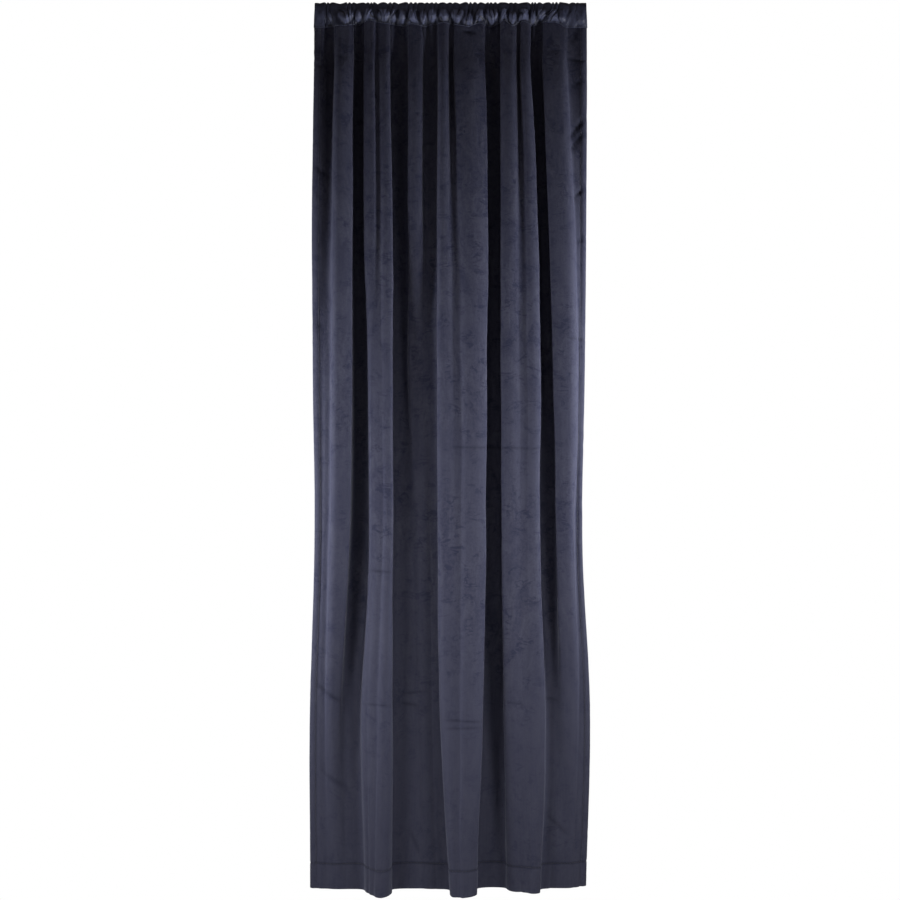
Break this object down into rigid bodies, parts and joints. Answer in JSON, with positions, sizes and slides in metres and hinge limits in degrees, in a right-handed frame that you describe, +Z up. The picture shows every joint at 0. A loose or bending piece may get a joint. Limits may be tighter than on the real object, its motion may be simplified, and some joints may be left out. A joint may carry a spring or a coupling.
{
  "type": "gathered rod-pocket blackout curtain panel",
  "caption": "Full-length velvet blackout curtain panel, gathered on its rod pocket and hanging in deep uneven folds to a stitched hem.",
  "frame": {"origin": "middle of the top edge, where the pocket hangs on its rod; the cloth hangs down from there to z = -2.50", "axes": "+Z up along the drop, +X along the rod to the right seen from the front, and the front of the cloth faces -Y"},
  "size_m": [0.7769, 0.1177, 2.4996],
  "materials": {
    "velvet_pile": "matte pile",
    "velvet_heading": "satin pile"
  },
  "bodies": {
    "root": {"curtain_panel": "velvet_pile", "heading_pocket": "velvet_heading"}
  },
  "joints": []
}
